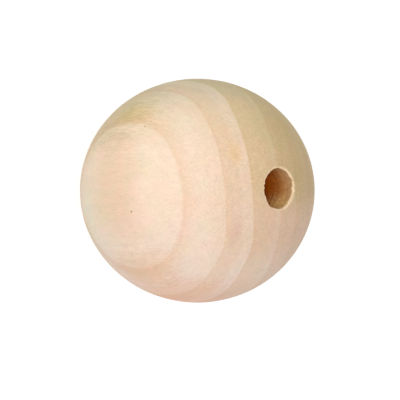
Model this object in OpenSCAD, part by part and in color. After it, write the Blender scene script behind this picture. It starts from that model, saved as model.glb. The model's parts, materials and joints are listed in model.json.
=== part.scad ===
// Wooden bead: a turned ball that has dried slightly oval, with a straight bore along the grain.
// The bore runs along Z, the growth rings lie across Y, and the origin is the middle of the ball.

/* [Ball] */
// Length of the ball along the grain and the bore
ball_length = 30.7; // [20:0.1:50]
// Width of the ball across the growth rings
ball_radial = 30.7; // [20:0.1:50]
// Width of the ball along the growth rings, where the wood has shrunk most
ball_tangential = 29.3; // [20:0.1:50]

/* [Bore] */
// Diameter of the bore, drilled right through
bore_d = 5.1; // [2:0.1:8]
// Radius of the rounding at each mouth of the bore
mouth_r = 0.3; // [0.1:0.05:1.5]
// Angle from level at which the rounding runs out into the ball
mouth_runout = 15; // [10:1:30]

/* [Hidden] */
$fn = 96;

// How far the cut reaches past each end of the ball
overrun = 1;

bore_r = bore_d / 2;

// The wider section of the oval stands higher round the bore, so it sets the height of the mouths
section_w = max(ball_radial, ball_tangential);

// The rim is the circle where the rounding meets the ball, and the bead stands on it
rim_r = bore_r + mouth_r * (1 - sin(mouth_runout));
rim_z = ball_length / 2 * sqrt(1 - pow(2 * rim_r / section_w, 2));

// Height at which the straight wall of the bore ends and the rounding starts
wall_z = rim_z - mouth_r * cos(mouth_runout);

// Oval ball, widest across the growth rings and along the grain
module ball() {
    scale([ball_tangential, ball_radial, ball_length])
        sphere(d = 1);
}

// Half section of the space inside one mouth, which widens along an arc from the wall of the bore
module mouth_section() {
    translate([0, wall_z])
        difference() {
            square([bore_r + mouth_r, mouth_r + overrun]);
            translate([bore_r + mouth_r, 0])
                circle(r = mouth_r);
        }
}

// Space of the bore with its two mouths, turned about the axis of the bead
module bore() {
    half_h = ball_length / 2 + overrun;
    rotate_extrude() {
        translate([0, -half_h])
            square([bore_r, 2 * half_h]);
        mouth_section();
        mirror([0, 1])
            mouth_section();
    }
}

// The bead is one piece of wood
module bead() {
    color("burlywood")
        difference() {
            ball();
            bore();
        }
}

bead();
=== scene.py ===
"""Wooden bead: a turned ball of bare, pale wood with a bore drilled along the grain.

The mesh is modelled in millimetres in the bead's own frame and brought to metres at the end. The bore runs
along Z, and the growth rings lie across Y, with the pith outside the ball on the +Y side.
"""

import json
import logging
import math
from dataclasses import dataclass
from enum import IntEnum
from typing import Any

import bmesh
import bpy
from bmesh.types import BMesh, BMVert
from mathutils import Matrix, Vector, noise


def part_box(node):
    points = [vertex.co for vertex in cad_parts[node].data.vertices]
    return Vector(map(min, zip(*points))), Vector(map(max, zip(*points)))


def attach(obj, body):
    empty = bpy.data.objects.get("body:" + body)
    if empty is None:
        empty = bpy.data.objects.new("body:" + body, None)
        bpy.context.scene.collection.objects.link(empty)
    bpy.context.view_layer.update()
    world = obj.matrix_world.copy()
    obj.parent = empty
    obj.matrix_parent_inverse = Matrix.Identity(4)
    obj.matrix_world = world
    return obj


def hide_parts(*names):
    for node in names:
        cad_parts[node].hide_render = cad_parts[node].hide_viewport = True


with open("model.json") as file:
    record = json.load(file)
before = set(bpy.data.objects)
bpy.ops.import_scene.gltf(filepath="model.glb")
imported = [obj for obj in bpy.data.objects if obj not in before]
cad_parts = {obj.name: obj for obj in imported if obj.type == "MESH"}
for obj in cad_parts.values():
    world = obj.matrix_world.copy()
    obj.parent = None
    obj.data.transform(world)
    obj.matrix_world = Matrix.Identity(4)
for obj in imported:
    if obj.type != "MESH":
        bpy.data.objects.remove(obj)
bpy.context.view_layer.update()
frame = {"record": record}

LOG = logging.getLogger("bead")
MM = 0.001

Colour = tuple[float, float, float, float]
Point = tuple[float, float, float]
Span = tuple[float, float]
Socket = bpy.types.NodeSocket
Value = float | tuple[float, ...] | Socket

WHITE: Colour = (1.0, 1.0, 1.0, 1.0)
MIDDLE = 0.5  # Of a noise, of the tones and between two tints


class Surface(IntEnum):
    """The two kinds of wood surface on the bead, in the order of its material slots."""

    TURNED = 0
    DRILLED = 1


def linear(red: int, green: int, blue: int) -> Colour:
    """Gives the linear colour that a shader takes for one written as it looks on screen.

    Args:
        red: red, from 0 to 255.
        green: green, from 0 to 255.
        blue: blue, from 0 to 255.

    Returns:
        The linear red, green and blue, and an alpha of 1.
    """
    screen = (red / 255, green / 255, blue / 255)
    return (*(part / 12.92 if part <= 0.04045 else ((part + 0.055) / 1.055) ** 2.4 for part in screen), 1.0)


def ease(low: float, high: float, value: float) -> float:
    """Goes smoothly from 0 where a value is at low to 1 where it is at high."""
    share = min(max((value - low) / (high - low), 0.0), 1.0)
    return share * share * (3 - 2 * share)


class NodeGraph:
    """Places shader nodes in one tree and links them.

    A value given to a socket is a number, a tuple or another node's output socket.
    """

    def __init__(self, tree: bpy.types.NodeTree) -> None:
        """Keeps the tree that the nodes go into."""
        self.tree = tree

    def feed(self, socket: Socket, value: Value) -> None:
        """Links an output to a socket, or sets the socket's own value.

        Args:
            socket: the socket that takes the value.
            value: another node's output, or the value itself.
        """
        if isinstance(value, Socket):
            self.tree.links.new(value, socket)
        else:
            socket.default_value = value

    def node(self, kind: str, *values: Value, **named: Any) -> bpy.types.Node:
        """Adds a node.

        Args:
            kind: the node's type, without its ShaderNode prefix.
            values: what its first sockets take, in order.
            named: its own properties, in lower case, and what its named sockets take.

        Returns:
            The new node.
        """
        made = self.tree.nodes.new("ShaderNode" + kind)
        for name in filter(str.islower, named):
            setattr(made, name, named[name])
        for name in filter(str.istitle, named):
            self.feed(made.inputs[name], named[name])
        for socket, value in zip(made.inputs, values):
            self.feed(socket, value)
        return made

    def math(self, operation: str, *values: Value) -> Socket:
        """Adds a Math node and gives its result."""
        return self.node("Math", *values, operation=operation).outputs["Value"]

    def vector(self, operation: str, *values: Value) -> Socket:
        """Adds a Vector Math node and gives its vector."""
        return self.node("VectorMath", *values, operation=operation).outputs["Vector"]

    def scaled(self, vector: Value, factor: Value) -> Socket:
        """Gives a vector or colour times a number."""
        return self.node("VectorMath", vector, Scale=factor, operation="SCALE").outputs["Vector"]

    def distance(self, first: Value, second: Value) -> Socket:
        """Gives the distance between two points."""
        return self.node("VectorMath", first, second, operation="DISTANCE").outputs["Value"]

    def axes(self, place: Value) -> tuple[Socket, Socket, Socket]:
        """Gives the X, Y and Z of a point."""
        return tuple(self.node("SeparateXYZ", place).outputs)

    def flat(self, x: Value, y: Value) -> Socket:
        """Gives the point at X and Y in the plane across the bore."""
        return self.node("CombineXYZ", x, y, 0.0).outputs["Vector"]

    def eased(self, value: Value, start: float, end: float) -> Socket:
        """Gives a mask that goes smoothly from 0 where a value is at start to 1 where it is at end."""
        made = self.node("MapRange", value, start, end, 0.0, 1.0, interpolation_type="SMOOTHSTEP")
        return made.outputs["Result"]

    def mix(self, share: Value, first: Value, second: Value, blend: str = "MIX") -> Socket:
        """Lays a colour over another.

        Args:
            share: how much of the second colour shows, from 0 to 1.
            first: the colour below.
            second: the colour above.
            blend: how the second is laid over the first, as the Mix node names it.

        Returns:
            The mixed colour.
        """
        made = self.node("Mix", data_type="RGBA", blend_type=blend, clamp_factor=True)
        # By number, because the sockets for numbers and vectors before them have the same names
        factor, below, above, result = 0, 6, 7, 2
        for index, value in ((factor, share), (below, first), (above, second)):
            self.feed(made.inputs[index], value)
        return made.outputs[result]

    def tinted(self, colour: Value, tint: Value, share: Value = 1.0) -> Socket:
        """Gives a colour multiplied by a tint, by a share."""
        return self.mix(share, colour, tint, "MULTIPLY")

    def noise(self, place: Value, scale: float, octaves: float, roughness: float = 0.5) -> Socket:
        """Gives a smooth noise from about -0.5 to 0.5 at a place."""
        made = self.node("TexNoise", Vector=place, Scale=scale, Detail=octaves, Roughness=roughness)
        return self.math("SUBTRACT", made.outputs[0], MIDDLE)

    def ramp(self, value: Value, stops: tuple[tuple[float, Colour], ...]) -> Socket:
        """Looks up a colour in a row of colours.

        Args:
            value: where to look along the row.
            stops: the colours in order, each with its value.

        Returns:
            The colour at the value, smoothly between its neighbours.
        """
        start, end = stops[0][0], stops[-1][0]
        share = self.math("DIVIDE", self.math("SUBTRACT", value, start), end - start)
        made = self.node("ValToRGB", share)
        row = made.color_ramp.elements
        row.remove(row[1])
        row[0].position, row[0].color = 0.0, stops[0][1]
        for at, colour in stops[1:]:
            row.new((at - start) / (end - start)).color = colour
        return made.outputs["Color"]

    def place(self) -> Socket:
        """Gives the point being shaded, in millimetres in the bead's own frame."""
        return self.scaled(self.node("TexCoord").outputs["Object"], 1 / MM)

    def group(self, tree: bpy.types.NodeTree, place: Value) -> bpy.types.NodeOutputs:
        """Adds a shared effect that reads the point being shaded.

        Args:
            tree: the effect's node group.
            place: the point being shaded, in mm.

        Returns:
            The sockets of what the effect puts out.
        """
        made = self.node("Group", node_tree=tree)
        self.feed(made.inputs["Place"], place)
        return made.outputs


def new_group(name: str, *outputs: str) -> tuple[NodeGraph, Socket, bpy.types.NodeInputs]:
    """Starts a shader node group that reads a place in millimetres and puts out numbers.

    Args:
        name: the group's name.
        outputs: the names of the numbers that it puts out.

    Returns:
        The group's graph, the socket of the place, and the sockets that its results go to.
    """
    tree = bpy.data.node_groups.new(name, "ShaderNodeTree")
    tree.interface.new_socket("Place", in_out="INPUT", socket_type="NodeSocketVector")
    for output in outputs:
        tree.interface.new_socket(output, in_out="OUTPUT", socket_type="NodeSocketFloat")
    source = tree.nodes.new("NodeGroupInput")
    return NodeGraph(tree), source.outputs["Place"], tree.nodes.new("NodeGroupOutput").inputs


def new_material(name: str) -> tuple[bpy.types.Material, NodeGraph, bpy.types.NodeInputs]:
    """Starts a material.

    Args:
        name: the material's name.

    Returns:
        The material, its graph and the sockets of its Principled BSDF.
    """
    made = bpy.data.materials.new(name)
    made.use_nodes = True
    made.node_tree.nodes.clear()
    graph = NodeGraph(made.node_tree)
    shader = graph.node("BsdfPrincipled")
    graph.node("OutputMaterial", Surface=shader.outputs["BSDF"])
    return made, graph, shader.inputs


@dataclass(frozen=True)
class Waver:
    """A smooth noise over the wood, by its waves per mm, its octaves and its strength."""

    scale: float
    octaves: float
    strength: float

    def at(self, graph: NodeGraph, place: Value) -> Socket:
        """Gives the noise at a place, from about minus half its strength to half."""
        return graph.math("MULTIPLY", graph.noise(place, self.scale, self.octaves), self.strength)


@dataclass(frozen=True)
class Ring:
    """One year's growth: pale early wood outside its inner edge, fading to tan late wood.

    Attributes:
        edge: distance of its inner edge from the pith, in mm.
        pale: how pale its early wood is, from 0 to 1.
        hold: width over which the early wood stays pale, in mm.
        middle: tone once the pale band has faded.
        late: tone of its late wood.
    """

    edge: float
    pale: float
    hold: float
    middle: float
    late: float


@dataclass(frozen=True)
class Swell:
    """A place where the rings bulge, by its centre and size in mm, and how far they move inwards there."""

    centre: Point
    size: float
    rise: float


@dataclass(frozen=True)
class GrowthRings:
    """The tree that the bead was cut from: where its pith ran, and its years of growth.

    Tone is 0 in the darkest late wood and 1 in the palest early wood. Lengths are in mm.

    Attributes:
        pith: X and Y of the pith halfway along the bore.
        lean: how far the pith moves along X and Y for each mm along Z.
        bow: the same for each mm away from the bore's middle, at both ends.
        bow_length: distance along Z over which the bow sets in.
        inner: least distance from the pith on the bead.
        outer: greatest distance from the pith on the bead.
        edge_width: width of the step at a ring's edge.
        line_width: width of the dark line inside the edge, and of the palest wood outside it.
        line_depth: how much darker than the late wood the line is.
        fade: width over which a pale band fades.
        fade_start: share of the fall to the middle tone that comes before the fade.
        stretch: share of the wavering's waves per mm that it has along the grain.
        wander: slow wavering of the rings.
        ragged: fine wavering of their edges.
        years: the rings, from the inside out.
        swells: places where the rings bulge.
    """

    pith: Span = (-1.9, 23.85)
    lean: Span = (-0.03, 0.05)
    bow: Span = (0.0, 0.107)
    bow_length: float = 3.0
    inner: float = 7.0
    outer: float = 39.8
    edge_width: float = 0.10
    line_width: float = 0.30
    line_depth: float = 0.20
    fade: float = 0.5
    fade_start: float = 0.3
    stretch: float = 0.35
    wander: Waver = Waver(0.11, 1.0, 0.30)
    ragged: Waver = Waver(1.4, 2.0, 0.14)
    years: tuple[Ring, ...] = (
        Ring(8.2, 0.64, 0.6, 0.43, 0.31),
        Ring(12.8, 0.67, 0.5, 0.46, 0.33),
        Ring(16.3, 0.60, 0.9, 0.43, 0.31),
        Ring(19.9, 0.57, 0.6, 0.43, 0.33),
        Ring(23.3, 0.53, 0.8, 0.40, 0.31),
        Ring(26.45, 0.71, 0.6, 0.45, 0.31),
        Ring(30.68, 0.99, 1.1, 0.60, 0.50),
        Ring(33.8, 0.99, 2.0, 0.86, 0.49),
        Ring(37.35, 0.98, 1.1, 0.67, 0.44),
    )
    swells: tuple[Swell, ...] = (
        Swell((7.0, -4.5, 12.8), 5.5, 0.38),
        Swell((-13.5, -3.5, 7.0), 9.0, 0.65),
        Swell((-6.0, 12.0, 6.0), 7.0, 0.40),
        Swell((4.0, 11.0, -9.0), 6.0, -0.40),
    )

    def stops(self) -> list[Span]:
        """Draws the tone against the distance from the pith.

        Returns:
            The points of the line, from the inside out.
        """
        points = [(self.inner, self.years[0].late)]
        for year, following in zip(self.years, (*self.years[1:], None)):
            end = following.edge if following else self.outer
            fading = year.pale - self.fade_start * (year.pale - year.middle)
            points += [
                (year.edge - self.edge_width / 2, max(points[-1][1] - self.line_depth, 0.0)),
                (year.edge + self.edge_width / 2, year.pale),
                (year.edge + self.line_width, year.pale - self.line_depth / 2),
                (year.edge + year.hold, fading),
                (year.edge + year.hold + self.fade, year.middle),
                (end - self.line_width, year.late),
            ]
        return points

    def tone(self, place: Vector) -> float:
        """Works out the tone at a point, as the group below does but without the wavering.

        Args:
            place: a point of the bead, in mm.

        Returns:
            The tone.
        """
        bow = math.hypot(place.z, self.bow_length)
        sides = zip(self.pith, self.lean, self.bow)
        reach = math.dist(place[:2], [pith + lean * place.z + bend * bow for pith, lean, bend in sides])
        for swell in self.swells:
            reach += swell.rise * ease(swell.size, 0.0, (place - Vector(swell.centre)).length)
        stops = self.stops()
        for (start, low), (end, high) in zip(stops, stops[1:]):
            if reach <= end:
                return low + (high - low) * max(reach - start, 0.0) / (end - start)
        return stops[-1][1]

    def group(self) -> bpy.types.NodeTree:
        """Builds the shader node group of the rings.

        Returns:
            The group, which puts out the tone and the distance from the pith in mm.
        """
        graph, place, results = new_group("growth_rings", "Tone", "Reach")
        x, y, z = graph.axes(place)
        bow = graph.math("SQRT", graph.math("MULTIPLY_ADD", z, z, self.bow_length**2))
        centre = []
        for pith, lean, bend in zip(self.pith, self.lean, self.bow):
            leaning = graph.math("MULTIPLY_ADD", z, lean, pith)
            centre.append(graph.math("MULTIPLY_ADD", bow, bend, leaning))
        reach = graph.distance(graph.flat(x, y), graph.flat(*centre))
        for swell in self.swells:
            near = graph.eased(graph.distance(place, swell.centre), swell.size, 0.0)
            reach = graph.math("MULTIPLY_ADD", near, swell.rise, reach)
        along = graph.vector("MULTIPLY", place, (1.0, 1.0, self.stretch))
        for waver in (self.wander, self.ragged):
            reach = graph.math("ADD", reach, waver.at(graph, along))
        graph.feed(results["Tone"], self.curve(graph, reach))
        graph.feed(results["Reach"], reach)
        return graph.tree

    def curve(self, graph: NodeGraph, reach: Value) -> Socket:
        """Adds the curve that turns the distance from the pith into the tone.

        Args:
            graph: the group's graph.
            reach: the distance from the pith, in mm.

        Returns:
            The tone.
        """
        span = self.outer - self.inner
        share = graph.math("DIVIDE", graph.math("SUBTRACT", reach, self.inner), span)
        made = graph.node("FloatCurve", Value=share)
        line = made.mapping.curves[0]
        stops = [((at - self.inner) / span, tone) for at, tone in self.stops()]
        line.points[0].location, line.points[1].location = stops[0], (1.0, stops[-1][1])
        for stop in stops[1:]:
            line.points.new(*stop)
        for point in line.points:
            point.handle_type = "VECTOR"
        made.mapping.update()
        return made.outputs["Value"]


@dataclass(frozen=True)
class Fibre:
    """The fine structure along the grain: streaks of fibres, small open pores and the sanded tooth.

    Attributes:
        streaks: the broad and the fine streaks, by their waves per mm across the grain and along it, and
            their strength.
        octaves: octaves of the streaks.
        roughness: roughness of the streaks' noise.
        tooth: the fine, even grain that sanding leaves.
        pores: pores per mm across the grain and along it.
        pore_size: radius of a pore, as a share of the pores' spacing.
        pore_core: share of that radius at which a pore is full.
        pore_share: share of the places that have a pore.
    """

    streaks: tuple[Point, ...] = ((1.2, 0.10, 1.7), (4.4, 0.70, 2.6))
    octaves: float = 2.0
    roughness: float = 0.6
    tooth: Waver = Waver(3.2, 2.0, 3.0)
    pores: Span = (1.5, 0.22)
    pore_size: float = 0.16
    pore_core: float = 1 / 3
    pore_share: float = 0.35

    def group(self) -> bpy.types.NodeTree:
        """Builds the shader node group of the fibres.

        Returns:
            The group, which puts out streaks and tooth about 0, and a mask of pores.
        """
        graph, place, results = new_group("fibre", "Streak", "Tooth", "Pore")
        streak = 0.0
        for across, along, strength in self.streaks:
            stretched = graph.vector("MULTIPLY", place, (across, across, along))
            wave = graph.noise(stretched, 1.0, self.octaves, self.roughness)
            streak = graph.math("MULTIPLY_ADD", wave, strength, streak)
        across, along = self.pores
        spread = graph.vector("MULTIPLY", place, (across, across, along))
        cells = graph.node("TexVoronoi", Vector=spread, Scale=1.0).outputs
        dots = graph.eased(cells["Distance"], self.pore_size, self.pore_size * self.pore_core)
        draw = graph.node("SeparateColor", cells["Color"]).outputs[0]
        chosen = graph.math("LESS_THAN", draw, self.pore_share)
        graph.feed(results["Streak"], streak)
        graph.feed(results["Tooth"], self.tooth.at(graph, place))
        graph.feed(results["Pore"], graph.math("MULTIPLY", dots, chosen))
        return graph.tree


@dataclass(frozen=True)
class Fleck:
    """A small dark speck in the wood.

    Attributes:
        centre: the speck's centre, in mm.
        radius: its radius, in mm.
        core: share of its radius within which it is darkest.
    """

    centre: Point
    radius: float
    core: float = 0.3

    def over(self, graph: NodeGraph, place: Value, colour: Value, dark: Colour) -> Socket:
        """Gives the wood's colour with the speck in it."""
        spot = graph.eased(graph.distance(place, self.centre), self.radius, self.radius * self.core)
        return graph.mix(spot, colour, dark)


@dataclass(frozen=True)
class Stain:
    """A soft patch of another tint over the wood; a comment marks each patch that is painted light.

    Attributes:
        centre: the patch's centre, in mm.
        size: its half lengths along X, Y and Z, in mm.
        tint: what the wood's colour is multiplied by.
        core: share of its size within which the tint is full.
        waver: how far the fibres' streaks move its edge, as a share of its size.
    """

    centre: Point
    size: Point
    tint: Colour
    core: float = 0.2
    waver: float = 0.22

    def over(self, graph: NodeGraph, place: Value, colour: Value, streak: Value) -> Socket:
        """Gives the wood's colour with the patch in it.

        Args:
            graph: the material's graph.
            place: the point being shaded, in mm.
            colour: the wood's colour.
            streak: the fibres' streaks.

        Returns:
            The tinted colour.
        """
        offset = graph.vector("SUBTRACT", place, self.centre)
        away = graph.distance(graph.vector("DIVIDE", offset, self.size), (0.0, 0.0, 0.0))
        away = graph.math("MULTIPLY_ADD", streak, self.waver, away)
        return graph.tinted(colour, self.tint, graph.eased(away, 1.0, self.core))


@dataclass(frozen=True)
class HeartWood:
    """The yellower wood towards the pith. Each span gives where a tint starts and where it is full, in mm.

    Attributes:
        tint: what the wood's colour is multiplied by in the heart.
        old_tint: what it is multiplied by again in the oldest wood.
        edge: distances from the pith of the heart's sharp edge.
        old_edge: distances from the pith over which the oldest wood sets in.
        side: X of the heart's soft edge across the rings.
        back: Y over which the heart reaches round the back of the bead.
        old_back: Y over which the oldest wood sets in towards the front.
    """

    tint: Colour = (0.93, 0.985, 0.885, 1.0)
    old_tint: Colour = (0.88, 0.86, 0.76, 1.0)
    edge: Span = (30.8, 30.6)
    old_edge: Span = (30.0, 24.0)
    side: Span = (4.0, -0.5)
    back: Span = (7.0, 14.0)
    old_back: Span = (16.0, 9.0)

    def over(self, graph: NodeGraph, across: Value, y: Value, reach: Value, colour: Value) -> Socket:
        """Gives the wood's colour with the heart in it.

        Args:
            graph: the material's graph.
            across: X of the point being shaded, with some wavering, in mm.
            y: Y of the point, in mm.
            reach: its distance from the pith, in mm.
            colour: the wood's colour.

        Returns:
            The tinted colour.
        """
        side = graph.math("MAXIMUM", graph.eased(across, *self.side), graph.eased(y, *self.back))
        heart = graph.math("MULTIPLY", graph.eased(reach, *self.edge), side)
        old = graph.math("MULTIPLY", graph.eased(reach, *self.old_edge), graph.eased(y, *self.old_back))
        colour = graph.tinted(colour, self.tint, heart)
        return graph.tinted(colour, self.old_tint, graph.math("MULTIPLY", old, side))


@dataclass(frozen=True)
class TurnedWood:
    """The bare, fine-sanded outside of the bead.

    Tints are what the wood's colour is multiplied by, and lengths are in mm.

    Attributes:
        early: colour of the palest early wood.
        late: colour of the darkest late wood.
        end_grain: tint at both ends of the bore.
        end_from: height at which the end grain sets in, as a share of the ball's half width.
        heart: the wood towards the pith.
        sides: painted light and shade by distance along X, with hue shifts: greenish at the -X edge,
            brightest from -10.5 to -5 mm, duller and bluer towards +X.
        side_waver: how far the clouds move the painted light and shade across X and the heart's edge.
        cloud: slow changes of hue, longer along the grain.
        cloud_stretch: share of the clouds' waves per mm that they have along the grain.
        cloud_gain: how strongly the clouds mix the cool and the warm tint.
        cool: tint at one end of the clouds.
        warm: tint at their other end.
        blush: changes between rosy and green.
        rosy: tint at one end of the blush.
        green: tint at its other end.
        lip: colour of the bared edge at each mouth.
        lip_edge: distances from the rim's circle where the lip starts and is full.
        lip_ragged: wavering of the lip's edge.
        lip_share: how much of the lip's colour covers the wood.
        stains: soft patches.
        flecks: small dark specks.
        fleck: colour of the specks.
        roughness: mean roughness.
        roughness_streak: how much the streaks change it.
        specular: level of the gloss.
        streak_depth: how much the streaks change the brightness.
        tooth_depth: how much the sanded tooth changes it.
        end_tooth: how much more the tooth changes it on end grain.
        pore_depth: how much darker a pore is.
        bump_strength: strength of the fibres' relief.
        bump_height: height of the fibres' relief.
    """

    early: Colour = (0.912, 0.728, 0.572, 1.0)
    late: Colour = (0.815, 0.560, 0.372, 1.0)
    end_grain: Colour = (0.93, 0.89, 0.85, 1.0)
    end_from: float = 0.55
    heart: HeartWood = HeartWood()
    # Painted light and shade: lighter towards -X and duller towards +X, with hue shifts
    sides: tuple[tuple[float, Colour], ...] = (
        (-14.4, (0.90, 0.99, 0.91, 1.0)),
        (-10.5, (1.04, 1.06, 0.97, 1.0)),
        (-5.0, (1.055, 1.06, 1.025, 1.0)),
        (0.0, (1.0, 1.0, 1.0, 1.0)),
        (6.0, (0.96, 0.96, 0.98, 1.0)),
        (11.0, (0.97, 0.97, 1.03, 1.0)),
        (14.4, (1.00, 0.98, 1.04, 1.0)),
    )
    side_waver: float = 5.0
    cloud: Waver = Waver(0.28, 3.0, 1.0)
    cloud_stretch: float = 0.5
    cloud_gain: float = 2.0
    cool: Colour = (1.0, 1.0, 1.05, 1.0)
    warm: Colour = (1.0, 0.98, 0.92, 1.0)
    blush: Waver = Waver(0.40, 1.0, 1.6)
    rosy: Colour = (1.03, 0.975, 1.0, 1.0)
    green: Colour = (0.97, 1.02, 0.99, 1.0)
    lip: Colour = (0.95, 0.71, 0.46, 1.0)
    lip_edge: Span = (0.18, -0.10)
    lip_ragged: Waver = Waver(2.2, 2.0, 0.5)
    lip_share: float = 0.85
    stains: tuple[Stain, ...] = (
        Stain((-9.6, -11.4, 0.8), (2.4, 3.8, 4.8), (0.95, 0.925, 0.77, 1.0)),
        Stain((0.0, -15.0, 0.6), (8.5, 3.5, 3.2), (1.0, 0.985, 0.97, 1.0)),
        Stain((-5.6, -13.9, 0.0), (4.0, 3.0, 5.5), (0.97, 0.935, 0.89, 1.0)),
        # Partly the rings' pale core and partly a painted pool of light, whiter where the key lamp lights
        # the front most
        Stain((1.5, -14.1, 5.4), (6.0, 2.8, 3.1), (1.04, 1.08, 1.13, 1.0)),
        Stain((-9.4, -9.8, -3.8), (7.5, 7.5, 10.0), (0.80, 0.83, 0.72, 1.0)),
        Stain((2.5, -12.5, -5.0), (9.0, 6.0, 8.0), (1.0, 1.12, 1.13, 1.0)),
        Stain((-4.0, -11.0, -11.0), (9.0, 4.5, 4.5), (0.91, 0.95, 0.95, 1.0)),
        Stain((10.4, -10.0, 1.5), (5.0, 5.5, 6.5), (0.96, 0.88, 0.79, 1.0)),
        Stain((13.6, -5.0, 2.5), (4.0, 7.5, 11.5), (1.0, 0.885, 0.82, 1.0)),
        # Painted warm bounce light: a rosy strip along the ball's +X edge
        Stain((14.4, -3.2, 0.0), (1.3, 8.0, 14.0), (1.035, 0.95, 0.935, 1.0), 0.1),
        Stain((10.0, 1.2, 10.8), (6.5, 5.5, 6.0), (1.03, 1.085, 1.11, 1.0)),
        Stain((-4.2, -6.0, 13.4), (2.4, 1.3, 2.0), (0.98, 0.94, 0.80, 1.0)),
        Stain((5.5, -5.6, 13.1), (3.0, 1.0, 2.0), (0.95, 0.90, 0.95, 1.0)),
    )
    flecks: tuple[Fleck, ...] = (
        Fleck((2.97, -14.62, 3.47), 0.22),
        Fleck((-7.80, -12.48, 3.62), 0.16),
        Fleck((8.26, -12.61, 1.31), 0.14),
        Fleck((4.10, 14.30, -4.20), 0.20),
    )
    fleck: Colour = linear(203, 156, 113)
    roughness: float = 0.6
    roughness_streak: float = 0.05
    specular: float = 0.25
    streak_depth: float = 0.095
    tooth_depth: float = 0.028
    end_tooth: float = 0.07
    pore_depth: float = 0.12
    bump_strength: float = 0.35
    bump_height: float = 0.02

    def material(
        self, form: "BeadForm", rings: bpy.types.NodeTree, fibre: bpy.types.NodeTree
    ) -> bpy.types.Material:
        """Builds the material.

        Args:
            form: the bead's sizes.
            rings: the shared group of the growth rings.
            fibre: the shared group of the fibres and pores.

        Returns:
            The material.
        """
        made, graph, shader = new_material("turned_wood")
        place = graph.place()
        grown = graph.group(rings, place)
        fibres = graph.group(fibre, place)
        ends = graph.eased(
            graph.math("ABSOLUTE", graph.axes(place)[2]), self.end_from * form.half_y, form.half_y
        )
        colour = graph.mix(grown["Tone"], self.late, self.early)
        colour = graph.tinted(colour, self.end_grain, ends)
        colour = self.hued(graph, place, grown["Reach"], colour)
        colour = self.lipped(graph, place, form.rim_radius, ends, colour)
        for stain in self.stains:
            colour = stain.over(graph, place, colour, fibres["Streak"])
        colour = graph.scaled(colour, self.shade(graph, fibres, ends))
        for fleck in self.flecks:
            colour = fleck.over(graph, place, colour, self.fleck)
        relief = graph.math("SUBTRACT", fibres["Streak"], fibres["Pore"])
        bump = graph.node("Bump", Strength=self.bump_strength, Distance=self.bump_height * MM, Height=relief)
        rough = graph.math("MULTIPLY_ADD", fibres["Streak"], self.roughness_streak, self.roughness)
        graph.feed(shader["Base Color"], colour)
        graph.feed(shader["Roughness"], rough)
        graph.feed(shader["Normal"], bump.outputs["Normal"])
        graph.feed(shader["Specular IOR Level"], self.specular)
        return made

    def hued(self, graph: NodeGraph, place: Value, reach: Value, colour: Value) -> Socket:
        """Lays the slow changes of hue, and the painted light and shade across X, over the rings.

        Args:
            graph: the material's graph.
            place: the point being shaded, in mm.
            reach: its distance from the pith, in mm.
            colour: the colour of the rings.

        Returns:
            The colour with the heart wood, the painted light and shade across the ball, the clouds and the
            blush.
        """
        x, y, _ = graph.axes(place)
        cloud = self.cloud.at(graph, graph.vector("MULTIPLY", place, (1.0, 1.0, self.cloud_stretch)))
        across = graph.math("MULTIPLY_ADD", cloud, self.side_waver, x)
        colour = self.heart.over(graph, across, y, reach, colour)
        # Painted light and shade across X, moved by the clouds
        colour = graph.tinted(colour, graph.ramp(across, self.sides))
        warmth = graph.math("MULTIPLY_ADD", cloud, self.cloud_gain, MIDDLE)
        colour = graph.tinted(colour, graph.mix(warmth, self.cool, self.warm))
        blush = graph.math("ADD", self.blush.at(graph, place), MIDDLE)
        return graph.tinted(colour, graph.mix(blush, self.green, self.rosy))

    def lipped(self, graph: NodeGraph, place: Value, rim: float, ends: Value, colour: Value) -> Socket:
        """Bares the edge of each mouth.

        Args:
            graph: the material's graph.
            place: the point being shaded, in mm.
            rim: radius of the rim's circle, in mm.
            ends: the mask of the end grain.
            colour: the wood's colour.

        Returns:
            The colour with a ragged, pale lip at the mouths.
        """
        x, y, _ = graph.axes(place)
        axis = graph.distance(graph.flat(x, y), (0.0, 0.0, 0.0))
        axis = graph.math("ADD", axis, self.lip_ragged.at(graph, place))
        start, end = self.lip_edge
        lip = graph.math("MULTIPLY", graph.eased(axis, rim + start, rim + end), ends)
        return graph.mix(graph.math("MULTIPLY", lip, self.lip_share), colour, self.lip)

    def shade(self, graph: NodeGraph, fibres: bpy.types.NodeOutputs, ends: Value) -> Socket:
        """Works out the brightness of the fibres, the tooth and the pores.

        Args:
            graph: the material's graph.
            fibres: what the group of the fibres puts out.
            ends: the mask of the end grain.

        Returns:
            The brightness, about 1.
        """
        tooth = graph.math("MULTIPLY_ADD", ends, self.end_tooth, self.tooth_depth)
        shade = graph.math("MULTIPLY_ADD", fibres["Streak"], self.streak_depth, 1.0)
        shade = graph.math("MULTIPLY_ADD", fibres["Tooth"], tooth, shade)
        return graph.math("MULTIPLY_ADD", fibres["Pore"], -self.pore_depth, shade)


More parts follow.
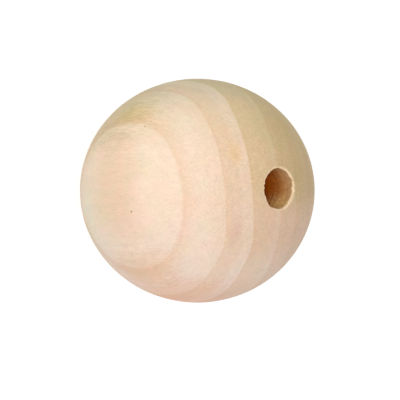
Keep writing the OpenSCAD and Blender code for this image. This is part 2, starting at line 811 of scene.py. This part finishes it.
@dataclass(frozen=True)
class DrilledWood:
    """The rough wall of the bore, browned by the drill, with painted shade deeper down and a painted lit
    side towards +X. Lengths are in mm.

    Attributes:
        depths: colours by depth below the mouth: the drill's browning with painted shade, darker and more
            saturated deeper down the bore.
        depth_waver: how far the tooth moves those depths.
        pale: painted light on the wall's +X side, paler where light falls into the bore.
        painted_lit_edge: X where that side starts.
        painted_lit_waver: how far the tooth moves its edge.
        painted_lit_depth: depths between which the pale colour comes to cover the wall in full.
        painted_lit_share: how much of it covers the wall at the mouth.
        roughness: the wall's roughness.
        specular: level of the gloss.
        brightness: brightness in the darkest late wood.
        ring_depth: how much the growth rings change it.
        streak_depth: how much the streaks change it.
        tooth_depth: how much the tooth changes it.
        bump_strength: strength of the tooth's relief.
        bump_height: height of the tooth's relief.
    """

    depths: tuple[tuple[float, Colour], ...] = (
        (0.0, (0.54, 0.34, 0.17, 1.0)),
        (1.2, (0.53, 0.27, 0.10, 1.0)),
        (2.3, (0.45, 0.17, 0.035, 1.0)),
        (4.5, (0.80, 0.235, 0.012, 1.0)),
    )
    depth_waver: float = 0.5
    pale: Colour = (0.99, 0.69, 0.28, 1.0)
    painted_lit_edge: float = 0.0
    painted_lit_waver: float = 0.3
    painted_lit_depth: Span = (0.4, 2.2)
    painted_lit_share: float = 0.5
    roughness: float = 0.85
    specular: float = 0.06
    brightness: float = 0.93
    ring_depth: float = 0.12
    streak_depth: float = 0.16
    tooth_depth: float = 0.20
    bump_strength: float = 0.5
    bump_height: float = 0.05

    def material(
        self, form: "BeadForm", rings: bpy.types.NodeTree, fibre: bpy.types.NodeTree
    ) -> bpy.types.Material:
        """Builds the material.

        Args:
            form: the bead's sizes.
            rings: the shared group of the growth rings.
            fibre: the shared group of the fibres and pores.

        Returns:
            The material.
        """
        made, graph, shader = new_material("drilled_wood")
        place = graph.place()
        tone = graph.group(rings, place)["Tone"]
        fibres = graph.group(fibre, place)
        x, _, z = graph.axes(place)
        # Painted shade: the wall is browned by the drill and painted darker and more saturated with depth
        depth = graph.math("SUBTRACT", form.wall_height, graph.math("ABSOLUTE", z))
        burn_and_shade_depth = graph.math("MULTIPLY_ADD", fibres["Tooth"], self.depth_waver, depth)
        colour = graph.ramp(burn_and_shade_depth, self.depths)
        # Painted light: the wall's +X side is painted paler where light falls into the bore, more fully
        # deeper down
        across = graph.math("MULTIPLY_ADD", fibres["Tooth"], self.painted_lit_waver, x)
        cover = graph.node("MapRange", depth, *self.painted_lit_depth, self.painted_lit_share, 1.0).outputs["Result"]
        side = graph.math("MULTIPLY", graph.eased(across, self.painted_lit_edge, form.bore_radius), cover)
        colour = graph.mix(side, colour, self.pale)
        shade = graph.math("MULTIPLY_ADD", tone, self.ring_depth, self.brightness)
        shade = graph.math("MULTIPLY_ADD", fibres["Streak"], self.streak_depth, shade)
        shade = graph.math("MULTIPLY_ADD", fibres["Tooth"], self.tooth_depth, shade)
        bump = graph.node(
            "Bump", Strength=self.bump_strength, Distance=self.bump_height * MM, Height=fibres["Tooth"]
        )
        graph.feed(shader["Base Color"], graph.scaled(colour, shade))
        graph.feed(shader["Normal"], bump.outputs["Normal"])
        graph.feed(shader["Roughness"], self.roughness)
        graph.feed(shader["Specular IOR Level"], self.specular)
        return made


@dataclass(frozen=True)
class Nick:
    """An uneven place on a mouth's edge, where the drill left fibres standing or tore them out.

    Attributes:
        end: the mouth, 1 for the upper one and -1 for the lower.
        angle: degrees around the bore, from +Y towards +X.
        width: half its width, in degrees.
        stand: how far the wood stands into the bore, in mm, or less than 0 where it is torn out.
    """

    end: int
    angle: float
    width: float
    stand: float

    def at(self, place: Vector) -> float:
        """Works out how far the wood stands into the bore.

        Args:
            place: a point at a mouth, in mm.

        Returns:
            The distance towards the bore's axis, in mm.
        """
        if self.end * place.z < 0:
            return 0.0
        turn = math.degrees(math.atan2(place.x, place.y)) - self.angle
        away = abs((turn + 180) % 360 - 180)
        return self.stand * ease(self.width, 0.0, away)


@dataclass(frozen=True)
class DrillMarks:
    """What the drill did to the bore and to its mouths. Lengths are in mm.

    Attributes:
        torn_width: how far from the rim the mouth's edge is uneven.
        torn_depth: how far down the wall it is uneven.
        bend: strength of the slow unevenness, and its waves around the bore and along it.
        chips: strength of the small chips, and their waves around the bore and along it.
        chip_floor: level of the chips' noise above which the wood is chipped.
        chip_turn: where the chips' noise starts.
        pitch: distance between the drill's marks on the wall.
        mark: height of those marks.
        mark_depth: depths below the rim where the marks start and are full.
        nicks: larger uneven places on the mouths.
    """

    torn_width: float = 0.4
    torn_depth: float = 1.8
    bend: Point = (0.05, 3.5, 0.6)
    chips: Point = (0.12, 11.0, 1.2)
    chip_floor: float = 0.1
    chip_turn: float = 3.0
    pitch: float = 0.9
    mark: float = 0.015
    mark_depth: Span = (0.3, 0.8)
    nicks: tuple[Nick, ...] = (
        Nick(1, 38.0, 42.0, 0.15),
        Nick(1, 125.0, 30.0, -0.14),
        Nick(1, 153.0, 12.0, 0.08),
        Nick(1, 180.0, 4.5, 0.13),
        Nick(1, 193.0, 4.5, 0.15),
        Nick(1, 225.0, 40.0, 0.07),
        Nick(1, 342.0, 20.0, -0.11),
        Nick(1, 358.5, 9.0, 0.16),
        Nick(-1, 80.0, 36.0, 0.12),
        Nick(-1, 190.0, 26.0, -0.13),
        Nick(-1, 300.0, 40.0, 0.09),
    )

    def at(self, place: Vector, rim_radius: float, rim_height: float) -> float:
        """Gives how far the wood stands into the bore beyond its true form.

        Args:
            place: a point of the bore, its mouths or the ball, in mm.
            rim_radius: radius of the rim's circle, in mm.
            rim_height: height of the rim above the ball's middle, in mm.

        Returns:
            The distance towards the bore's axis, in mm.
        """
        reach = math.hypot(place.x, place.y)
        if reach > rim_radius + self.torn_width:
            return 0.0
        around = Vector((place.x, place.y, 0)) / reach
        depth = rim_height - abs(place.z)
        bend, turns, rise = self.bend
        stand = -bend * noise.noise(around * turns + Vector((0, 0, place.z * rise)))
        chip, turns, rise = self.chips
        draw = noise.noise(around * turns + Vector((self.chip_turn, 0, place.z * rise)))
        stand -= chip * max(draw - self.chip_floor, 0.0)
        stand += sum(nick.at(place) for nick in self.nicks)
        stand *= ease(self.torn_depth, 0.0, depth) * ease(rim_radius + self.torn_width, rim_radius, reach)
        groove = math.sin(math.tau * place.z / self.pitch + math.atan2(place.y, place.x))
        return stand + self.mark * groove * ease(*self.mark_depth, depth)


@dataclass
class BeadForm:
    """The bead's form. Lengths are in mm.

    Attributes:
        half_x: half the ball's width along X, the narrow way.
        half_y: half its width along Y.
        rim_height: height of each mouth's rim from the ball's middle.
        bore_radius: radius of the bore.
        wall_height: height of the end of the bore's straight wall from the ball's middle.
        turns: steps around the bore.
        ball_steps: steps along the ball, from rim to rim.
        mouth_steps: steps along each mouth's rounding.
        fine_depth: length of the wall next to each mouth that has fine steps.
        fine_steps: steps along that length.
        coarse_steps: steps along the rest of the wall.
        weld_distance: distance within which points of the mesh are merged.
        rim_softening: width of the rounding where a mouth meets the ball.
        rim_cuts: steps across that rounding.
        oval_from: distance from the axis at which the ball is oval in full, in radii of the rim.
        bore_edge: share of the mouth's rounding that looks drilled.
        proud: how far the darkest late wood stands above the palest early wood.
        drill: the drill's marks.
    """

    half_x: float
    half_y: float
    rim_height: float
    bore_radius: float
    wall_height: float
    turns: int = 288
    ball_steps: int = 140
    mouth_steps: int = 6
    fine_depth: float = 4.0
    fine_steps: int = 32
    coarse_steps: int = 24
    weld_distance: float = 0.001
    rim_softening: float = 0.06
    rim_cuts: int = 3
    oval_from: float = 2.5
    bore_edge: float = 0.05
    proud: float = 0.012
    drill: DrillMarks = DrillMarks()

    @classmethod
    def from_frame(cls) -> "BeadForm":
        """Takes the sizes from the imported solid.

        Returns:
            The form, with the solid's box and its bore.
        """
        bore = next(mount["dims"] for mount in frame["record"]["mounts"] if mount["name"] == "bore")
        half_x, half_y, rim_height = (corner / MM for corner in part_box("bead")[1])
        return cls(half_x, half_y, rim_height, bore["r_mm"], bore["length_mm"] / 2)

    @property
    def rim_radius(self) -> float:
        """Radius of the circle where the mouth's rounding meets the ball, which is round in the YZ plane."""
        return math.sqrt(self.half_y**2 - self.rim_height**2)

    @property
    def mouth_radius(self) -> float:
        """Radius of the arc that leaves the bore's wall and ends at the rim."""
        out, rise = self.rim_radius - self.bore_radius, self.rim_height - self.wall_height
        return (out**2 + rise**2) / (2 * out)

    def build(self, rings: GrowthRings) -> bpy.types.Object:
        """Models the bead as one closed mesh.

        Args:
            rings: the growth rings, whose late wood stands a little proud.

        Returns:
            The bead's object, at the origin.
        """
        mesh = bmesh.new()
        self.draw_section(mesh)
        bmesh.ops.spin(
            mesh, geom=mesh.verts[:] + mesh.edges[:], cent=(0, 0, 0), axis=(0, 0, 1),
            angle=math.tau, steps=self.turns, use_merge=True,
        )
        self.weld(mesh)
        bmesh.ops.recalc_face_normals(mesh, faces=mesh.faces)
        self.mark_bore(mesh)
        self.soften_rims(mesh)
        self.press_oval(mesh)
        self.wear(mesh, rings)
        bmesh.ops.scale(mesh, vec=(MM, MM, MM), verts=mesh.verts)
        data = bpy.data.meshes.new("bead_wood")
        mesh.to_mesh(data)
        mesh.free()
        data.shade_smooth()
        piece = bpy.data.objects.new("bead_wood", data)
        bpy.context.scene.collection.objects.link(piece)
        return piece

    def weld(self, mesh: BMesh) -> None:
        """Merges points that lie in the same place."""
        bmesh.ops.remove_doubles(mesh, verts=mesh.verts, dist=self.weld_distance)

    def draw_section(self, mesh: BMesh) -> None:
        """Draws the closed half section in the YZ plane: wall, mouth, ball and mouth again.

        Args:
            mesh: the mesh being drawn.
        """
        point = mesh.verts.new((0, self.bore_radius, -self.wall_height))
        point = self.rise(mesh, point, self.fine_depth, self.fine_steps)
        point = self.rise(mesh, point, 2 * (self.wall_height - self.fine_depth), self.coarse_steps)
        point = self.rise(mesh, point, self.fine_depth, self.fine_steps)
        arc_y = self.bore_radius + self.mouth_radius
        mouth_turn = math.acos((arc_y - self.rim_radius) / self.mouth_radius)
        ball_turn = 2 * math.atan2(self.rim_height, self.rim_radius)
        point = self.swing(mesh, point, (0, arc_y, self.wall_height), mouth_turn, self.mouth_steps)
        point = self.swing(mesh, point, (0, 0, 0), ball_turn, self.ball_steps)
        self.swing(mesh, point, (0, arc_y, -self.wall_height), mouth_turn, self.mouth_steps)
        self.weld(mesh)

    def rise(self, mesh: BMesh, point: BMVert, length: float, steps: int) -> BMVert:
        """Draws a line straight up from a point.

        Args:
            mesh: the mesh being drawn.
            point: the line's first point.
            length: the line's length.
            steps: the number of edges in the line.

        Returns:
            The line's last point.
        """
        step = (0, 0, length / steps)
        run = bmesh.ops.spin(mesh, geom=[point], axis=(0, 0, 1), dvec=step, angle=0, steps=steps)
        return next(item for item in run["geom_last"] if isinstance(item, BMVert))

    def swing(self, mesh: BMesh, point: BMVert, centre: Point, angle: float, steps: int) -> BMVert:
        """Draws an arc in the YZ plane from a point, clockwise seen from +X.

        Args:
            mesh: the mesh being drawn.
            point: the arc's first point.
            centre: the arc's centre.
            angle: the arc's angle, in radians.
            steps: the number of edges in the arc.

        Returns:
            The arc's last point.
        """
        run = bmesh.ops.spin(mesh, geom=[point], cent=centre, axis=(1, 0, 0), angle=-angle, steps=steps)
        return next(item for item in run["geom_last"] if isinstance(item, BMVert))

    def mark_bore(self, mesh: BMesh) -> None:
        """Gives the bore's wall its own material slot.

        Args:
            mesh: the bead's mesh.
        """
        for face in mesh.faces:
            centre = face.calc_center_median()
            inside = math.hypot(centre.x, centre.y) < self.bore_radius + self.bore_edge * self.mouth_radius
            face.material_index = Surface.DRILLED if inside else Surface.TURNED

    def soften_rims(self, mesh: BMesh) -> None:
        """Rounds off the edge where each mouth meets the ball.

        Args:
            mesh: the bead's mesh.
        """
        near, round_profile = 0.01, 0.5
        on_rim = {
            vert for vert in mesh.verts
            if abs(abs(vert.co.z) - self.rim_height) < near
            and abs(math.hypot(vert.co.x, vert.co.y) - self.rim_radius) < near
        }
        bmesh.ops.bevel(
            mesh, geom=[edge for edge in mesh.edges if on_rim.issuperset(edge.verts)],
            offset=self.rim_softening, offset_type="OFFSET", segments=self.rim_cuts,
            profile=round_profile, affect="EDGES", clamp_overlap=True, material=-1,
        )

    def press_oval(self, mesh: BMesh) -> None:
        """Narrows the ball along X, and keeps the bore and its mouths round.

        Args:
            mesh: the bead's mesh.
        """
        flat = self.half_x / self.half_y
        for vert in mesh.verts:
            x, y, z = vert.co
            reach = math.hypot(x, y)
            narrow = x * (1 + (flat - 1) * ease(self.rim_radius, self.oval_from * self.rim_radius, reach))
            round_z = math.sqrt(max(self.half_y**2 - x**2 - y**2, 0.0))
            oval_z = math.sqrt(max(self.half_y**2 - (narrow / flat) ** 2 - y**2, 0.0))
            share = (reach - self.bore_radius) / (self.rim_radius - self.bore_radius)
            drop = min(max(share, 0.0), 1.0) * (round_z - oval_z)
            vert.co = (narrow, y, z - math.copysign(1.0, z) * drop)

    def wear(self, mesh: BMesh, rings: GrowthRings) -> None:
        """Raises the late wood outside, and leaves the drill's marks and torn fibres in the bore.

        Args:
            mesh: the bead's mesh.
            rings: the growth rings, whose late wood stands proud.
        """
        mesh.normal_update()
        for vert in mesh.verts:
            out = Vector((vert.co.x, vert.co.y, 0))
            if out.length > self.rim_radius:
                vert.co += vert.normal * self.proud * (MIDDLE - rings.tone(vert.co))
            vert.co -= out.normalized() * self.drill.at(vert.co, self.rim_radius, self.rim_height)


@dataclass
class Bead:
    """The bead: its form, dressed in turned wood outside and drilled wood in the bore.

    Attributes:
        form: the bead's form.
        rings: its growth rings.
        fibre: its fibres and pores.
        outside: the finish of the ball and the mouths.
        bore: the finish of the bore's wall.
    """

    form: BeadForm
    rings: GrowthRings = GrowthRings()
    fibre: Fibre = Fibre()
    outside: TurnedWood = TurnedWood()
    bore: DrilledWood = DrilledWood()

    def build(self) -> bpy.types.Object:
        """Builds the bead, dresses it and sets it in the place of its solid.

        Returns:
            The bead's object.
        """
        piece = self.form.build(self.rings)
        shared = (self.rings.group(), self.fibre.group())
        for finish in (self.outside, self.bore):
            piece.data.materials.append(finish.material(self.form, *shared))
        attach(piece, "root")
        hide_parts("bead")
        return piece


@dataclass
class PhotoCamera:
    """The camera at the photograph's viewing angle, with the bead's -X side at the top of the image.

    Lengths are in mm.

    Attributes:
        bore_turn: degrees by which the bore points to the right of the line of sight.
        side_step: degrees by which the camera stands to the side of the YZ plane.
        distance: distance of the camera from the bead's middle.
        frame_width: width of what the frame shows at the bead's middle.
        frame_pixels: width of the frame in pixels.
        centre_pixel: where the bead's middle is in the frame, in pixels from its upper left corner.
        sensor: width of the camera's sensor.
        clip: nearest and farthest distance that the camera shows.
    """

    bore_turn: float = 43.3
    side_step: float = 1.9
    distance: float = 300.0
    frame_width: float = 52.37
    frame_pixels: int = 400
    centre_pixel: Span = (197.3, 190.7)
    sensor: float = 36.0
    clip: Span = (10.0, 20000.0)

    def axes(self) -> tuple[Vector, Vector, Vector]:
        """Works out the directions of the image in the bead's frame.

        Returns:
            The image's right and up, and the way back towards the camera.
        """
        rise, step = math.radians(90 - self.bore_turn), math.radians(self.side_step)
        back = Vector((math.sin(step) * math.cos(rise), -math.cos(step) * math.cos(rise), math.sin(rise)))
        right = Vector((-1, 0, 0)).cross(back).normalized()
        return right, back.cross(right), back

    def build(self) -> bpy.types.Object:
        """Makes the camera and sets it as the scene's.

        Returns:
            The camera's object.
        """
        right, up, back = self.axes()
        data = bpy.data.cameras.new("photo_camera")
        data.sensor_width = self.sensor
        data.lens = self.sensor * self.distance / self.frame_width
        data.clip_start, data.clip_end = (end * MM for end in self.clip)
        pixel = self.frame_width / self.frame_pixels
        across, down = (self.frame_pixels / 2 - at for at in self.centre_pixel)
        aim = (right * across - up * down) * pixel
        camera = bpy.data.objects.new("photo_camera", data)
        turn = Matrix((right, up, back)).transposed().to_4x4()
        camera.matrix_world = Matrix.Translation((aim + back * self.distance) * MM) @ turn
        bpy.context.scene.collection.objects.link(camera)
        bpy.context.scene.camera = camera
        return camera


@dataclass(frozen=True)
class Lamp:
    """A soft round lamp, placed as seen from the camera.

    Attributes:
        name: what the lamp is.
        to_right: degrees to the right of the camera.
        to_top: degrees above the camera, in the image.
        distance: distance from the bead, in mm.
        width: the lamp's width, in mm.
        level: the brightness that it gives to a white sheet that faces it.
    """

    name: str
    to_right: float
    to_top: float
    distance: float
    width: float
    level: float

    def build(self, camera: PhotoCamera) -> None:
        """Makes the lamp, facing the bead.

        Args:
            camera: the camera that the lamp is placed from.
        """
        right, up, back = camera.axes()
        side, lift = math.radians(self.to_right), math.radians(self.to_top)
        level_way = right * math.sin(side) + back * math.cos(side)
        way = level_way * math.cos(lift) + up * math.sin(lift)
        data = bpy.data.lights.new(self.name, "AREA")
        data.shape = "DISK"
        data.size = self.width * MM
        # The watts that give the level to a white sheet at the bead, facing the lamp
        data.energy = self.level * (math.pi * self.distance * MM) ** 2
        made = bpy.data.objects.new(self.name, data)
        turn = way.to_track_quat("Z", "Y").to_matrix().to_4x4()
        made.matrix_world = Matrix.Translation(way * self.distance * MM) @ turn
        bpy.context.scene.collection.objects.link(made)


@dataclass
class Studio:
    """A white floor under an even sky, with soft lamps.

    Attributes:
        floor_height: height of the floor, in mm.
        camera: the camera that the lamps are placed from.
        floor_side: length of the floor's side, in m.
        floor_colour: the floor's own colour.
        floor_glow: how much whiter the floor looks than the light on it makes it.
        sky_level: the sky's light on the bead.
        lamps: the lamps.
    """

    floor_height: float
    camera: PhotoCamera
    floor_side: float = 8.0
    floor_colour: Colour = (0.65, 0.65, 0.65, 1.0)
    floor_glow: float = 0.62
    sky_level: float = 0.58
    lamps: tuple[Lamp, ...] = (
        Lamp("key_lamp", -13.0, -2.0, 600.0, 320.0, 0.48),
        Lamp("fill_lamp", 50.0, -45.0, 500.0, 400.0, 0.05),
    )

    def build(self) -> bpy.types.Object:
        """Makes the sky, the lamps and the floor.

        Returns:
            The floor's object.
        """
        self.build_sky()
        for lamp in self.lamps:
            lamp.build(self.camera)
        return self.build_floor()

    def seen(self, graph: NodeGraph) -> Socket:
        """Tells what is looked at from what light falls on.

        Args:
            graph: the graph of a material or the world.

        Returns:
            1 where a ray comes from the camera, a gloss or a glass, and 0 elsewhere.
        """
        path = graph.node("LightPath").outputs
        seen = graph.math("MAXIMUM", path["Is Camera Ray"], path["Is Glossy Ray"])
        return graph.math("MAXIMUM", seen, path["Is Transmission Ray"])

    def build_sky(self) -> None:
        """Makes the sky: white to the eye, and an even soft light on the bead."""
        sky = bpy.data.worlds.new("studio_sky")
        sky.use_nodes = True
        sky.node_tree.nodes.clear()
        graph = NodeGraph(sky.node_tree)
        level = graph.node("MapRange", self.seen(graph), 0.0, 1.0, self.sky_level, 1.0).outputs["Result"]
        light = graph.node("Background", WHITE, level)
        graph.node("OutputWorld", light.outputs["Background"])
        bpy.context.scene.world = sky

    def build_floor(self) -> bpy.types.Object:
        """Makes the floor, which is white to the eye and keeps the bead's shadow.

        Returns:
            The floor's object.
        """
        mesh = bmesh.new()
        bmesh.ops.create_grid(mesh, x_segments=1, y_segments=1, size=self.floor_side / 2)
        bmesh.ops.translate(mesh, vec=(0, 0, self.floor_height * MM), verts=mesh.verts)
        data = bpy.data.meshes.new("floor")
        mesh.to_mesh(data)
        mesh.free()
        data.materials.append(self.floor_paper())
        floor = bpy.data.objects.new("floor", data)
        bpy.context.scene.collection.objects.link(floor)
        return floor

    def floor_paper(self) -> bpy.types.Material:
        """Builds the floor's material, a matt paper.

        Returns:
            The material.
        """
        made, graph, shader = new_material("floor_paper")
        graph.feed(shader["Base Color"], self.floor_colour)
        graph.feed(shader["Roughness"], 1.0)
        graph.feed(shader["Specular IOR Level"], 0.0)
        graph.feed(shader["Emission Color"], WHITE)
        graph.feed(shader["Emission Strength"], graph.math("MULTIPLY", self.seen(graph), self.floor_glow))
        return made


def main() -> None:
    """Builds the bead, then the camera and the studio round it."""
    logging.basicConfig(level=logging.INFO, format="%(name)s: %(message)s")
    bpy.context.scene.view_settings.view_transform = "Standard"
    form = BeadForm.from_frame()
    camera = PhotoCamera()
    for piece in (Bead(form).build(), camera.build(), Studio(-form.rim_height, camera).build()):
        faces = len(piece.data.polygons) if piece.type == "MESH" else 0
        LOG.info("%s: %s, %d faces", piece.name, piece.type.lower(), faces)


if __name__ == "__main__":
    main()
